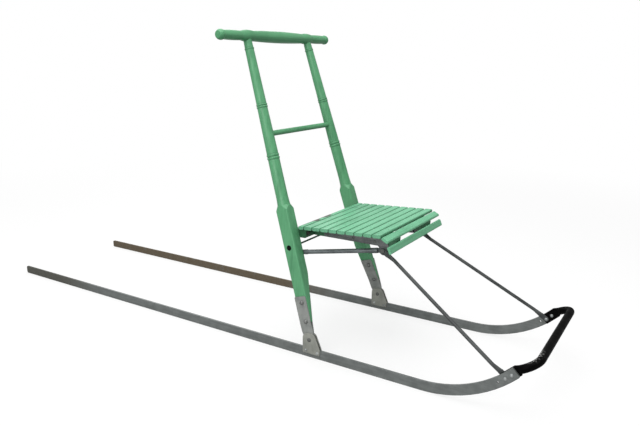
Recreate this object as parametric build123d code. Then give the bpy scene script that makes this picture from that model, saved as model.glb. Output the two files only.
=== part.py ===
from build123d import *
from math import atan2, cos, radians, sin, sqrt, tan
import os

# Kick sled, in millimetres. x runs forward from the runners' rear ends, +Y is the sled's left and
# z is the height over the ground. At the end the whole sled is moved back by half its length.

# Runners: flat steel bars on edge
gauge = 420.0
runner_height = 27.0
runner_thickness = 6.0
runner_flat_length = 1658.0
front_curve_radius = 319.0
front_curve_angle = 46.5
tip_straight = 4.0
tail_corner_radius = 6.0
tip_corner_radius = 3.0
line_hole_angle = 37.4
line_hole_diameter = 5.0

# Nose bar: a tube bent round the front, pressed flat where it laps on the runners' tips
nose_tube_diameter = 21.0
nose_flat_height = 28.0
nose_flat_thickness = 6.0
nose_lap_angle = 39.8
nose_lap_length = 45.0
nose_start_slope = 44.0
nose_neck_length = 7.0
nose_lean = 27.0
nose_corner_run = 0.5
nose_corner_radius = 39.8

# Foot brackets and their pins
pivot_x = 1322.5
pivot_z = 52.5
bracket_thickness = 2.6
bracket_lap = 15.5
pin_diameter = 8.0
pin_head_diameter = 11.5
pin_head_height = 2.6
# Bracket outline: distance in front of the pin, distance above the pin, corner radius
bracket_shoulders = [
    (-21.5, 20.0, 17.0),
    (15.5, 20.0, 14.0),
    (35.0, -24.0, 0.0),
]

# Posts: square below the seat and turned above it
post_lean = 16.9
post_splay = 2.92
post_width = 37.0
post_depth = 39.0
post_edge_radius = 4.5
post_end_z = 100.0
post_end_thickness = 5.0
post_taper_z = 240.0
shoulder_z = 403.0
shoulder_height = 17.0
# Turned shaft: share of the way from the shoulder to the handlebar, diameter
shaft_rows = [
    (0.0, 36.5),
    (0.0435, 34.0),
    (0.287, 33.0),
    (0.587, 29.0),
    (0.924, 24.8),
    (0.9696, 23.0),
]
# Beads: share of the way from the shoulder to the handlebar, diameter, height of the bead
bead_rows = [
    (0.2783, 36.0, 7.5),
    (0.2957, 35.6, 7.5),
    (0.5804, 31.8, 5.5),
    (0.5935, 31.4, 5.5),
    (0.9239, 27.0, 5.0),
]
tenon_diameter = 14.0
tenon_length = 7.0

# Straps on the feet of the posts
strap_thickness = 2.6
strap_width = 37.0
strap_top_z = 172.0
strap_corner_radius = 4.0
tongue_width = 33.0
tongue_height = 24.0
joggle_start = 22.5

# Handlebar, turned, with a swell between the posts and a knob at each end
bar_z = 880.0
bar_length = 540.0
barrel_diameter = 34.0
waist_diameter = 29.0
collar_diameter = 32.4
collar_half_width = 27.0
grip_start_diameter = 25.6
grip_diameter = 27.0
grip_end_diameter = 25.0
knob_diameter = 28.8
knob_length = 19.0
knob_end_diameter = 19.0

# Rung between the turned parts, and the tie rod between the square parts
rung_share = 0.4217
rung_diameter = 15.5
rung_socket = 9.0
tie_rod_z = 304.5
tie_rod_offset = 1.0
tie_rod_diameter = 5.2
tie_hole_diameter = 13.5
tie_hole_depth = 9.0
tie_nut_diameter = 11.0
tie_nut_height = 5.0

# Seat
seat_rear_z = 364.5
seat_slope = 2.8
slat_length = 348.0
slat_count = 10
slat_pitch = 26.6
slat_width = 24.4
first_slat_width = 17.0
slat_thickness = 9.5
slat_edge_radius = 4.0
slat_clearance = 0.6
front_slat_thickness = 8.0
front_slat_edge_radius = 3.7
# Front slats: drop of the inner rear edge under the last flat slat's underside, distance of that
# edge in front of that slat, slope downwards, width
front_slats = [
    (1.5, 0.8, 28.0, 21.0),
    (20.3, 18.6, 67.0, 20.0),
]
cross_rail_depth = 27.0
cross_rail_height = 26.0
cross_rail_setback = -3.0
cross_rail_edge_radius = 3.0
cleat_inner_y = 92.0
cleat_outer_y = 116.0
cleat_nose_radius = 4.0

# Steel strips on the cleats, with a lug that hangs down round the seat bolt
side_rail_height = 20.0
side_rail_thickness = 3.0
side_rail_bottom_z = 330.5
side_rail_rear_x = 1311.0
side_rail_end_radius = 4.0
side_rail_front_radius = 20.0
lug_radius = 14.0
lug_corner_radius = 6.0

# Bolts at the seat's front, level rods and diagonal stays
seat_bolt_x = 1497.7
seat_bolt_z = 320.1
seat_bolt_diameter = 7.0
seat_bolt_head_diameter = 13.0
seat_bolt_head_height = 4.0
level_rod_diameter = 12.4
level_rod_rear_z = 289.0
level_rod_palm = 32.0
level_rod_collar_diameter = 14.4
level_rod_collar_length = 8.0
level_rod_sleeve_diameter = 15.0
level_rod_sleeve_length = 22.0
level_rod_sleeve_gap = 2.0
level_rod_collar_gap = 3.0
level_rod_flat_width = 13.0
level_rod_flat_thickness = 3.0
diagonal_diameter = 9.6
diagonal_flat_width = 15.0
diagonal_flat_thickness = 3.0
diagonal_flat_length = 16.0
diagonal_taper_length = 26.0
diagonal_foot_angle = 41.3
play = 0.2

parts = {}


def side_shape(face, y_from, y_to):
    """A face drawn as (x, z) made solid between two distances from the middle plane."""
    return extrude(Plane.XZ.offset(-y_from) * face, -(y_to - y_from))


def pin_across(x, z, diameter, y_from, y_to):
    """A round pin or hole that runs across the sled."""
    return side_shape(Pos(x, z) * Circle(diameter / 2), y_from, y_to)


def outline(rows):
    """A closed face; rows are (along, up, corner radius)."""
    points = [(along, up) for along, up, _ in rows]
    return make_face(FilletPolyline(*points, radius=[radius for _, _, radius in rows], close=True))


def ribbon(rows, width):
    """A strip of even width along a path; rows are (along, up, bend radius at the path)."""
    points = [Vector(along, up) for along, up, _ in rows]
    steps = [(b - a).normalized() for a, b in zip(points, points[1:])]
    sides = []
    for sign in (1, -1):
        side = []
        for i, point in enumerate(points):
            before = steps[max(i - 1, 0)]
            after = steps[min(i, len(steps) - 1)]
            middle = (before + after).normalized()
            reach = sign * width / 2 / middle.dot(before)
            radius = rows[i][2]
            if radius > 0:
                left_turn = before.X * after.Y > before.Y * after.X
                radius += (-sign if left_turn else sign) * width / 2
            side.append((point.X - reach * middle.Y, point.Y + reach * middle.X, radius))
        sides.append(side)
    return outline(sides[0] + sides[1][::-1])


def add_pair(name, left):
    """Keeps a left-hand piece and its mirror image on the right."""
    parts[name + "_left"] = left
    parts[name + "_right"] = mirror(left, about=Plane.XZ)


def curve_point(angle):
    """A point in the middle of the runner's front curve, by the slope of the runner there."""
    turn = radians(angle)
    x = runner_flat_length + front_curve_radius * sin(turn)
    z = runner_height / 2 + front_curve_radius * (1 - cos(turn))
    return x, z


runner_inner_y = (gauge - runner_thickness) / 2
runner_outer_y = (gauge + runner_thickness) / 2


def make_runner():
    turn = radians(front_curve_angle)
    tangent = front_curve_radius * tan(turn / 2)
    corner_x = runner_flat_length + tangent
    rise = tangent + tip_straight
    path = [
        (0, runner_height / 2, 0),
        (corner_x, runner_height / 2, front_curve_radius),
        (corner_x + rise * cos(turn), runner_height / 2 + rise * sin(turn), 0),
    ]
    runner = side_shape(ribbon(path, runner_height), runner_inner_y, runner_outer_y)
    corners = runner.edges().filter_by(Axis.Y).sort_by(Axis.X)
    runner = fillet(corners[:2], tail_corner_radius)
    runner = fillet(runner.edges().filter_by(Axis.Y).sort_by(Axis.X)[-2:], tip_corner_radius)
    hole_x, hole_z = curve_point(line_hole_angle)
    return runner - pin_across(hole_x, hole_z, line_hole_diameter, runner_inner_y, runner_outer_y)


add_pair("runner", make_runner())

# Nose bar: a flat leg, a neck where it turns round, and the tube in its leaning plane
nose_start_x, nose_start_z = curve_point(nose_lap_angle)
start_slope = radians(nose_start_slope)
lean = radians(nose_lean)
neck_slope = (start_slope + lean) / 2
nose_middle_y = runner_inner_y - nose_flat_thickness / 2
nose_inner_y = runner_inner_y - nose_flat_thickness
flat_end_x = nose_start_x + nose_lap_length * cos(start_slope)
flat_end_z = nose_start_z + nose_lap_length * sin(start_slope)
tube_start_x = flat_end_x + nose_neck_length * cos(neck_slope)
tube_start_z = flat_end_z + nose_neck_length * sin(neck_slope)
nose_reach = nose_corner_run + nose_corner_radius


def rising_plane(x, z, slope):
    """A plane across a leg of the nose bar, with its own x upwards."""
    return Plane((x, nose_middle_y, z), x_dir=(-sin(slope), 0, cos(slope)), z_dir=(cos(slope), 0, sin(slope)))


def make_nose_bar():
    flat = SlotOverall(nose_flat_height, nose_flat_thickness)
    round_section = Circle(nose_tube_diameter / 2)
    leg = extrude(rising_plane(nose_start_x, nose_start_z, start_slope) * flat, nose_lap_length)
    neck_foot = rising_plane(flat_end_x, flat_end_z, start_slope) * flat
    tube_start = rising_plane(tube_start_x, tube_start_z, lean) * round_section
    leg += loft([neck_foot, tube_start])
    front_path = FilletPolyline(
        (0, nose_middle_y),
        (nose_reach, nose_middle_y),
        (nose_reach, -nose_middle_y),
        (0, -nose_middle_y),
        radius=nose_corner_radius,
    )
    leaning = Plane(
        (tube_start_x, 0, tube_start_z), x_dir=(cos(lean), 0, sin(lean)), z_dir=(-sin(lean), 0, cos(lean))
    )
    front = sweep(tube_start, path=leaning * front_path)
    return leg + front + mirror(leg, about=Plane.XZ)


parts["nose_bar"] = make_nose_bar()
nose_front_x = tube_start_x + nose_reach * cos(lean)
nose_front_z = tube_start_z + nose_reach * sin(lean)
overall_length = nose_front_x + nose_tube_diameter / 2

# Post frames: one plane leans back at the pin, and the post's own plane splays from it
back = radians(post_lean)
splay = radians(post_splay)
across_lean = Plane((pivot_x, 0, pivot_z), x_dir=(0, 1, 0), z_dir=(cos(back), 0, sin(back)))
along_lean = Plane((pivot_x, 0, pivot_z), x_dir=(cos(back), 0, sin(back)), z_dir=(0, -1, 0))


def post_length(z):
    """Length along the post's middle from the pin to a height over the ground."""
    return (z - pivot_z) / (cos(back) * cos(splay))


tongue_face_y = runner_outer_y - play - strap_thickness
post_foot_y = tongue_face_y - post_width / 2 * cos(splay) + post_length(post_end_z) * sin(splay)
post_frame = Plane(
    (pivot_x, post_foot_y, pivot_z),
    x_dir=(cos(back), 0, sin(back)),
    z_dir=(-sin(back) * cos(splay), -sin(splay), cos(back) * cos(splay)),
)


def shaft_height(share):
    """Height over the ground, from a share of the way from the shoulder to the handlebar."""
    foot = shoulder_z + shoulder_height
    return foot + share * (bar_z - foot)


def post_axis_x(z):
    return pivot_x - (z - pivot_z) * tan(back)


def post_axis_y(z):
    return post_foot_y - post_length(z) * sin(splay)


def post_front_x(z):
    return post_axis_x(z) + post_depth / 2 / cos(back)


def post_inner_y(z):
    return post_axis_y(z) - post_width / 2 / cos(splay)


bar_x = post_axis_x(bar_z)
bar_post_y = post_axis_y(bar_z)


def make_bar_blank():
    """Handlebar turned about its length; stations are (distance from the middle, diameter)."""
    half = bar_length / 2
    grip_start = bar_post_y + collar_half_width
    grip_end = half - knob_length
    stations = [
        (bar_post_y - collar_half_width, waist_diameter),
        (bar_post_y, collar_diameter),
        (grip_start, grip_start_diameter),
        ((grip_start + grip_end) / 2, grip_diameter),
        (grip_end, grip_end_diameter),
        (grip_end + knob_length * 0.5, knob_diameter),
        (half, knob_end_diameter),
    ]
    radii = [(diameter / 2, y) for y, diameter in stations]
    waist = radii[0]
    curves = [ThreePointArc((waist[0], -waist[1]), (barrel_diameter / 2, 0), waist)]
    for i in (0, 2, 4):
        curves.append(ThreePointArc(radii[i], radii[i + 1], radii[i + 2]))
        curves.append(ThreePointArc(*[(r, -y) for r, y in radii[i:i + 3]]))
    curves.append(Polyline(radii[-1], (0, half), (0, -half), (knob_end_diameter / 2, -half)))
    return Pos(bar_x, 0, bar_z) * revolve(make_face(curves), Axis.Y)


bar_blank = make_bar_blank()


def make_post_block():
    """Square lower part, thinned at the foot, with its corners turned away at the shoulder."""
    half = post_width / 2
    end = post_length(post_end_z)
    top = post_length(shoulder_z + shoulder_height)
    side_view = Polyline(
        (half, end),
        (half, top),
        (-half, top),
        (-half, post_length(post_taper_z)),
        (half - post_end_thickness, end),
        close=True,
    )
    block = extrude(Plane.YZ * make_face(side_view), post_depth / 2, both=True)
    block = fillet(block.edges().filter_by(Axis.Z), post_edge_radius)
    corner = sqrt(post_width ** 2 + post_depth ** 2) / 2
    turning = Polyline(
        (0, end),
        (corner, end),
        (corner, post_length(shoulder_z)),
        (shaft_rows[0][1] / 2, top),
        (0, top),
        close=True,
    )
    return block & revolve(Plane.XZ * make_face(turning), Axis.Z)


def make_shaft():
    """Turned upper part with its beads, up to the middle of the handlebar."""
    radii = [(diameter / 2, post_length(shaft_height(share))) for share, diameter in shaft_rows]
    radii.append((radii[-1][0], post_length(bar_z)))
    shaft_face = make_face(Polyline((0, radii[0][1]), *radii, (0, radii[-1][1]), close=True))
    shaft = revolve(Plane.XZ * shaft_face, Axis.Z)
    for share, diameter, height in bead_rows:
        bead = Cylinder(diameter / 2, height)
        bead = fillet(bead.edges().filter_by(GeomType.CIRCLE), height * 0.45)
        shaft += Pos(0, 0, post_length(shaft_height(share))) * bead
    return shaft


tenon_foot = post_length(bar_z) - collar_diameter / 2 - tenon_length
tenon_face = Pos(0, 0, tenon_foot) * Circle(tenon_diameter / 2)
tenon = post_frame * extrude(tenon_face, collar_diameter / 2 + 2 * tenon_length)
tie_rod_x = post_axis_x(tie_rod_z) - tie_rod_offset
tie_outer_y = post_axis_y(tie_rod_z) + post_width / 2
tie_seat_y = tie_outer_y - tie_hole_depth
rung_z = shaft_height(rung_share)
rung_half_length = post_axis_y(rung_z) - shaft_rows[3][1] / 2 + rung_socket
rung_x = post_axis_x(rung_z)


def make_post():
    post = post_frame * (make_post_block() + make_shaft())
    post = post - bar_blank + tenon
    post -= pin_across(rung_x, rung_z, rung_diameter, 0, rung_half_length)
    post -= pin_across(tie_rod_x, tie_rod_z, tie_rod_diameter, 0, tie_outer_y)
    return post - pin_across(tie_rod_x, tie_rod_z, tie_hole_diameter, tie_seat_y, runner_outer_y)


add_pair("post", make_post())
parts["handlebar"] = bar_blank - tenon - mirror(tenon, about=Plane.XZ)
parts["rung"] = pin_across(rung_x, rung_z, rung_diameter, -rung_half_length, rung_half_length)


def make_tie_rod():
    nut_end = tie_seat_y + tie_nut_height
    rod = pin_across(tie_rod_x, tie_rod_z, tie_rod_diameter, -nut_end, nut_end)
    nut = pin_across(tie_rod_x, tie_rod_z, tie_nut_diameter, tie_seat_y, nut_end)
    return rod + nut + mirror(nut, about=Plane.XZ)


parts["tie_rod"] = make_tie_rod()

# Foot brackets, straps and pins
bracket_outer_y = runner_outer_y + bracket_thickness
bracket_inner_y = runner_inner_y - bracket_thickness


def make_foot_pin():
    shank = pin_across(pivot_x, pivot_z, pin_diameter, bracket_inner_y, bracket_outer_y)
    outer_y = bracket_outer_y + pin_head_height
    inner_y = bracket_inner_y - pin_head_height
    outer_head = pin_across(pivot_x, pivot_z, pin_head_diameter, bracket_outer_y, outer_y)
    inner_head = pin_across(pivot_x, pivot_z, pin_head_diameter, inner_y, bracket_inner_y)
    outer_head = fillet(outer_head.edges().group_by(Axis.Y)[-1], pin_head_height * 0.8)
    inner_head = fillet(inner_head.edges().group_by(Axis.Y)[0], pin_head_height * 0.8)
    return shank + outer_head + inner_head


foot_pin = make_foot_pin()
add_pair("foot_pin", foot_pin)


def make_bracket_plate(y_from, y_to):
    bottom = runner_height - bracket_lap - pivot_z
    rear = bracket_shoulders[0][0]
    rows = bracket_shoulders + [(33.0, bottom, 2.0), (rear, bottom, 2.0)]
    face = outline([(pivot_x + along, pivot_z + up, radius) for along, up, radius in rows])
    return side_shape(face, y_from, y_to) - foot_pin


add_pair("bracket_outer", make_bracket_plate(runner_outer_y, bracket_outer_y))
add_pair("bracket_inner", make_bracket_plate(bracket_inner_y, runner_inner_y))


def lean_point(y, length):
    """A point of the post's own frame, as distance from the middle plane and length up the lean."""
    return (
        post_foot_y + y * cos(splay) - length * sin(splay),
        y * sin(splay) + length * cos(splay),
    )


def make_strap(path):
    """A bent strap; path rows are (distance from the middle plane, length up the lean, radius)."""
    bent = extrude(across_lean * ribbon(path, strap_thickness), post_depth, both=True)
    half = strap_width / 2
    tongue = tongue_width / 2
    top = post_length(strap_top_z)
    rows = [
        (-tongue, -tongue, tongue * 0.98),
        (tongue, -tongue, tongue * 0.98),
        (tongue, tongue_height * 0.5, 4.0),
        (half, tongue_height, 4.0),
        (half, top, strap_corner_radius),
        (-half, top, strap_corner_radius),
        (-half, tongue_height, 4.0),
        (-tongue, tongue_height * 0.5, 4.0),
    ]
    face = along_lean * outline(rows)
    return bent & extrude(face, -gauge) - foot_pin


def make_outer_strap():
    half = strap_thickness / 2
    end = post_length(post_end_z)
    top = post_length(strap_top_z) + strap_width
    bottom = -tongue_width
    bend_y, bend_length = lean_point(post_width / 2, end)
    top_y, top_length = lean_point(post_width / 2 + half, top)
    return make_strap([
        (bend_y + half, bottom, 0),
        (bend_y + half, bend_length + half * tan(splay / 2), 0),
        (top_y, top_length, 0),
    ])


def make_inner_strap():
    half = strap_thickness / 2
    end = post_length(post_end_z)
    taper = Vector(
        post_end_thickness - post_width,
        post_length(post_taper_z) - end,
    ).normalized()
    foot = Vector(post_width / 2 - post_end_thickness, end) + Vector(-taper.Y, taper.X) * half
    top = foot + taper * (post_length(strap_top_z) + strap_width - end)
    tongue_y = runner_inner_y + play + half
    return make_strap([
        (tongue_y, -tongue_width, 0),
        (tongue_y, joggle_start, 0),
        (*lean_point(foot.X, foot.Y), 0),
        (*lean_point(top.X, top.Y), 0),
    ])


add_pair("strap_outer", make_outer_strap())
add_pair("strap_inner", make_inner_strap() - parts["post_left"])

# Seat: everything is set from the underside of the slats
pitch_angle = radians(seat_slope)
seat_under_rear_z = seat_rear_z - slat_thickness
seat_rear_x = post_front_x(seat_under_rear_z) + slat_clearance


def seat_under_z(x):
    """Height of the slats' underside."""
    return seat_under_rear_z + (x - seat_rear_x) * tan(pitch_angle)


def make_slat(x, z, slope, width, thickness, edge_radius):
    """A slat whose lower rear edge is at x, z and which rises forward by slope degrees."""
    slat = Box(width, slat_length, thickness, align=(Align.MIN, Align.CENTER, Align.MIN))
    slat = fillet(slat.edges().filter_by(Axis.Y), edge_radius)
    return Pos(x, 0, z) * Rot(0, -slope, 0) * slat


for number in range(slat_count):
    width = slat_width if number else first_slat_width
    slat_x = seat_rear_x + (number * slat_pitch + slat_width - width) * cos(pitch_angle)
    slat = make_slat(slat_x, seat_under_z(slat_x), seat_slope, width, slat_thickness, slat_edge_radius)
    parts[f"slat_{number + 1:02d}"] = slat

seat_front_x = seat_rear_x + ((slat_count - 1) * slat_pitch + slat_width) * cos(pitch_angle)
facets = []
for number, (drop, ahead, slope, width) in enumerate(front_slats):
    facet_x = seat_front_x + ahead
    facet_z = seat_under_z(seat_front_x) - drop
    name = f"slat_{slat_count + number + 1:02d}"
    parts[name] = make_slat(facet_x, facet_z, -slope, width, front_slat_thickness, front_slat_edge_radius)
    end_x = facet_x + width * cos(radians(slope))
    end_z = facet_z - width * sin(radians(slope))
    facets.append((facet_x, facet_z, end_x, end_z))

cross_rail_x = seat_rear_x + cross_rail_setback
cross_rail_front_x = cross_rail_x + cross_rail_depth
cross_rail_bottom_z = seat_under_z(cross_rail_x) - cross_rail_height


def make_cross_rail():
    """Rail under the rearmost slats, cut to the slant of the posts' inner faces."""
    rows = [
        (cross_rail_x, seat_under_z(cross_rail_x), 0),
        (cross_rail_x, cross_rail_bottom_z, cross_rail_edge_radius),
        (cross_rail_front_x, cross_rail_bottom_z, cross_rail_edge_radius),
        (cross_rail_front_x, seat_under_z(cross_rail_front_x), 0),
    ]
    half = post_inner_y(cross_rail_bottom_z)
    rail = side_shape(outline(rows), -half, half)
    return rail - parts["post_left"] - parts["post_right"]


parts["seat_cross_rail"] = make_cross_rail()


def make_cleat():
    """Cleat under the slats; its front carries the two sloping slats on flats."""
    (upper_x, upper_z, upper_end_x, upper_end_z), (lower_x, lower_z, lower_end_x, lower_end_z) = facets
    rear_x = cross_rail_front_x
    rows = [
        (rear_x, seat_under_z(rear_x), 0),
        (seat_front_x, seat_under_z(seat_front_x), 0),
        (upper_x, upper_z, 0),
        (upper_end_x, upper_end_z, 0),
        (lower_x, lower_z, 0),
        (lower_end_x, lower_end_z, cleat_nose_radius),
        (rear_x, lower_end_z, 0),
    ]
    return side_shape(outline(rows), cleat_inner_y, cleat_outer_y)


add_pair("seat_cleat", make_cleat())

# Stack on the seat bolt, outwards: nut, side rail, level rod's flat end, diagonal's flat end, head
rail_outer_y = cleat_outer_y + side_rail_thickness
rod_flat_inner_y = rail_outer_y + play / 2
rod_flat_outer_y = rod_flat_inner_y + level_rod_flat_thickness
stay_flat_inner_y = rod_flat_outer_y + play / 2
stay_flat_outer_y = stay_flat_inner_y + diagonal_flat_thickness


def make_seat_bolt():
    inner_y = cleat_outer_y - seat_bolt_head_height
    head_y = stay_flat_outer_y + seat_bolt_head_height
    shank = pin_across(seat_bolt_x, seat_bolt_z, seat_bolt_diameter, inner_y, head_y)
    nut = pin_across(seat_bolt_x, seat_bolt_z, seat_bolt_head_diameter, inner_y, cleat_outer_y)
    head = pin_across(seat_bolt_x, seat_bolt_z, seat_bolt_head_diameter, stay_flat_outer_y, head_y)
    return shank + nut + fillet(head.edges().group_by(Axis.Y)[-1], seat_bolt_head_height * 0.4)


seat_bolt = make_seat_bolt()
add_pair("seat_bolt", seat_bolt)


def make_side_rail():
    top_z = side_rail_bottom_z + side_rail_height
    lug_rear_x = seat_bolt_x - lug_radius
    lug_front_x = seat_bolt_x + lug_radius
    lug_bottom_z = seat_bolt_z - lug_radius
    rows = [
        (side_rail_rear_x, side_rail_bottom_z, side_rail_end_radius),
        (lug_rear_x, side_rail_bottom_z, lug_corner_radius),
        (lug_rear_x, lug_bottom_z, lug_radius * 0.98),
        (lug_front_x, lug_bottom_z, lug_radius * 0.98),
        (lug_front_x, top_z, side_rail_front_radius),
        (side_rail_rear_x, top_z, side_rail_end_radius),
    ]
    return side_shape(outline(rows), cleat_outer_y, rail_outer_y) - seat_bolt


add_pair("side_rail", make_side_rail())


def make_level_rod():
    """Rod from a flat palm on the post's inner face to a flat eye on the seat bolt."""
    rear_x = post_front_x(level_rod_rear_z) + level_rod_collar_gap
    rear = Vector(rear_x, post_inner_y(level_rod_rear_z) - level_rod_flat_thickness / 2, level_rod_rear_z)
    slope = atan2(seat_bolt_z - rear.Z, seat_bolt_x - rear.X)
    sleeve_end_x = seat_bolt_x - lug_radius - level_rod_sleeve_gap
    eye_y = (rod_flat_inner_y + rod_flat_outer_y) / 2
    sleeve_end = Vector(sleeve_end_x, eye_y, seat_bolt_z - (seat_bolt_x - sleeve_end_x) * tan(slope))
    way = (sleeve_end - rear).normalized()
    upright = Vector(-sin(slope), 0, cos(slope))
    sleeve_start = sleeve_end - way * level_rod_sleeve_length
    rod = Plane(rear, x_dir=(0, 1, 0), z_dir=way) * extrude(
        Circle(level_rod_diameter / 2), (sleeve_end - rear).length
    )
    collar = Plane(rear, x_dir=(0, 1, 0), z_dir=way) * extrude(
        Circle(level_rod_collar_diameter / 2), level_rod_collar_length
    )
    sleeve = Plane(sleeve_start, x_dir=(0, 1, 0), z_dir=way) * extrude(
        Circle(level_rod_sleeve_diameter / 2), level_rod_sleeve_length
    )
    palm_end = rear - Vector(cos(slope), 0, sin(slope)) * level_rod_palm
    palm_front = rear + Vector(cos(slope), 0, sin(slope)) * level_rod_collar_length
    palm_rows = [(palm_end.X, palm_end.Z, 0), (palm_front.X, palm_front.Z, 0)]
    palm = side_shape(ribbon(palm_rows, level_rod_flat_width), rail_outer_y, runner_outer_y)
    inner_face = post_frame * Pos(0, -post_width / 2, 0)
    palm &= inner_face * Box(
        overall_length, level_rod_flat_thickness, overall_length, align=(Align.CENTER, Align.MAX, Align.CENTER)
    )
    eye = ribbon([(sleeve_end.X, sleeve_end.Z, 0), (seat_bolt_x, seat_bolt_z, 0)], level_rod_flat_width)
    eye += Pos(seat_bolt_x, seat_bolt_z) * Circle(level_rod_flat_width / 2)
    eye = side_shape(eye, rod_flat_inner_y, rod_flat_outer_y)
    return rod + collar + sleeve + palm + eye - seat_bolt


add_pair("level_rod", make_level_rod())


def make_diagonal():
    """Tube from the seat bolt to the inner side of the nose bar's leg, flattened at both ends."""
    foot_x, foot_z = curve_point(diagonal_foot_angle)
    half_flat = diagonal_flat_thickness / 2
    top = Vector(seat_bolt_x, stay_flat_inner_y + half_flat, seat_bolt_z)
    foot = Vector(foot_x, nose_inner_y - half_flat, foot_z)
    along = Vector(foot.X - top.X, 0, foot.Z - top.Z).normalized()
    upright = Vector(-along.Z, 0, along.X)
    taper_end = diagonal_flat_length + diagonal_taper_length
    tube_start = top + along * taper_end
    tube_end = foot - along * taper_end
    tube_way = (tube_end - tube_start).normalized()
    stay = Plane(tube_start, x_dir=upright, z_dir=tube_way) * extrude(
        Circle(diagonal_diameter / 2), (tube_end - tube_start).length
    )
    for eye, tube_tip, way in ((top, tube_start, along), (foot, tube_end, -along)):
        flat_end = eye + way * diagonal_flat_length
        round_section = Plane(tube_tip, x_dir=upright, z_dir=tube_way) * Circle(diagonal_diameter / 2)
        flat_section = Plane(flat_end, x_dir=upright, z_dir=along) * Ellipse(diagonal_flat_width / 2, half_flat)
        stay += loft([flat_section, round_section])
        plate_end = flat_end + way * diagonal_flat_width * 0.25
        plate = ribbon([(eye.X, eye.Z, 0), (plate_end.X, plate_end.Z, 0)], diagonal_flat_width * 0.94)
        plate += Pos(eye.X, eye.Z) * Circle(diagonal_flat_width * 0.47)
        stay += side_shape(plate, eye.Y - half_flat, eye.Y + half_flat)
    return stay - seat_bolt


add_pair("diagonal_stay", make_diagonal())

os.makedirs("parts", exist_ok=True)
for name, solid in parts.items():
    export_step(Pos(-overall_length / 2, 0, 0) * solid, f"parts/{name}.step")
print(len(parts), "pieces, length", round(overall_length, 2), "tail at", round(-overall_length / 2, 3))
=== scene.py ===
"""Looks of a kick sled: paint, steel, rivets, screws, studio and camera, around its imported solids."""
from math import cos, pi, radians, sin

import bmesh
import bpy
from bpy.props import FloatProperty, FloatVectorProperty, IntProperty, PointerProperty
from bpy.types import Operator, Panel, PropertyGroup
from mathutils import Matrix, Vector


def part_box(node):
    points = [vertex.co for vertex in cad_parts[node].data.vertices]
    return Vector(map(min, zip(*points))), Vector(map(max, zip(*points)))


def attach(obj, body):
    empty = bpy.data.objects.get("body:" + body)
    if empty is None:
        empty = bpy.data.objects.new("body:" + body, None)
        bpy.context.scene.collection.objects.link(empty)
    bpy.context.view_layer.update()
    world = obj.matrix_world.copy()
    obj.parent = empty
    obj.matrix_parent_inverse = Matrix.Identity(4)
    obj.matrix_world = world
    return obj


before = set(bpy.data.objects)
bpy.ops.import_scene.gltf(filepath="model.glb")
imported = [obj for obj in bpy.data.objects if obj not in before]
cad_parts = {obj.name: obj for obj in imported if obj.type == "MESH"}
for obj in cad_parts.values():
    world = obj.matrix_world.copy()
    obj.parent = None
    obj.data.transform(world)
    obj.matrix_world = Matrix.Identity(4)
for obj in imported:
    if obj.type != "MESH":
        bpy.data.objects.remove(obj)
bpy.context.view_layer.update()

bl_info = {
    "name": "Kick Sled Looks",
    "version": (1, 0, 0),
    "blender": (4, 5, 0),
    "location": "3D View > Sidebar > Kick Sled",
    "description": "Paint, steel, small fasteners, studio and camera for a kick sled",
    "category": "Object",
}

BODY = "root"
SIDES = (("left", 1), ("right", -1))
TAIL_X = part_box("runner_left")[0][0]

# The posts' own frame: the foot pin, the backward lean and the splay towards the middle
PIN_X = TAIL_X + 1.3225
PIN_Z = 0.0525
POST_FOOT_Y = 0.194256
POST_LEAN = radians(16.9)
POST_SPLAY = radians(2.92)
POST_HALF_WIDTH = 0.0185

# Taper of the posts' feet: where it ends and starts, and how far it reaches across at the foot
TAPER_FOOT_Z = 0.100
TAPER_TOP_Z = 0.240
TAPER_FOOT_Y = 0.0135

# Straps: thickness, and the share by which the slanted one is thicker when taken straight across
STRAP_THICKNESS = 0.0026
SLANTED_SHARE = 1.011

# Beads turned on the posts: height of the bead's middle over the ground, length of the bead
BEADS = ((0.548, 0.0075), (0.556, 0.0075), (0.687, 0.0055), (0.693, 0.0055), (0.845, 0.0050))

# Front of the runners, for the rivets that hold the nose bar and the stays
CURVE_START_X = TAIL_X + 1.658
CURVE_RADIUS = 0.319
CURVE_CENTRE_Z = 0.3325
STAY_RIVET_ANGLE = 41.3
NOSE_RIVET_ANGLE = 44.7
TIP_RIVET_SHARE = 1.2

# Thickness of the nose bar's pressed ends, and of the flattened ends of stays and level rods
NOSE_FLAT_THICKNESS = 0.006
ROD_FLAT_THICKNESS = 0.003

# Seat: slope of the flat slats in degrees, their thickness and their number
SEAT_SLOPE = 2.8
SLAT_THICKNESS = 0.0095
FLAT_SLATS = 10

# Places of rivets: distance from the runners' rear ends, height over the ground
BRACKET_RIVETS = ((1.311, 0.0195), (1.349, 0.0185))
STRAP_RIVETS = ((1.295, 0.154), (1.310, 0.102))

# Screws in the steel strips: distances from the runners' rear ends, and their height
STRIP_SCREWS = (1.3215, 1.4050, 1.4700)
STRIP_SCREW_Z = 0.3405

# Screws in the level rods' palms: distances in front of the post's middle line, the height there
# and the rise in front of it
PALM_SCREWS = (-0.002, 0.012)
PALM_Z = 0.2865
PALM_RISE = 0.14

# Bolts on the cross rail: distance from the middle plane and height, and the washer under each
RAIL_BOLT_Y = 0.149
RAIL_BOLT_Z = 0.343
WASHER_SHARE = 1.45
WASHER_HEIGHT = 0.0014
WASHER_RIM = 0.0012

# Heights of the other heads, how far a nail is sunk, and its segments
SCREW_HEIGHT = 0.0016
BOLT_HEIGHT = 0.0052
CAP_HEIGHT = 0.0018
NAIL_HEIGHT = 0.0005
NAIL_SINK = 0.0001
NAIL_STEPS = 12

# Rings of a domed head: share of its half width, share of the dome's height
DOME_RINGS = ((1.0, 0.0), (0.86, 0.55), (0.52, 0.9))

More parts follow.
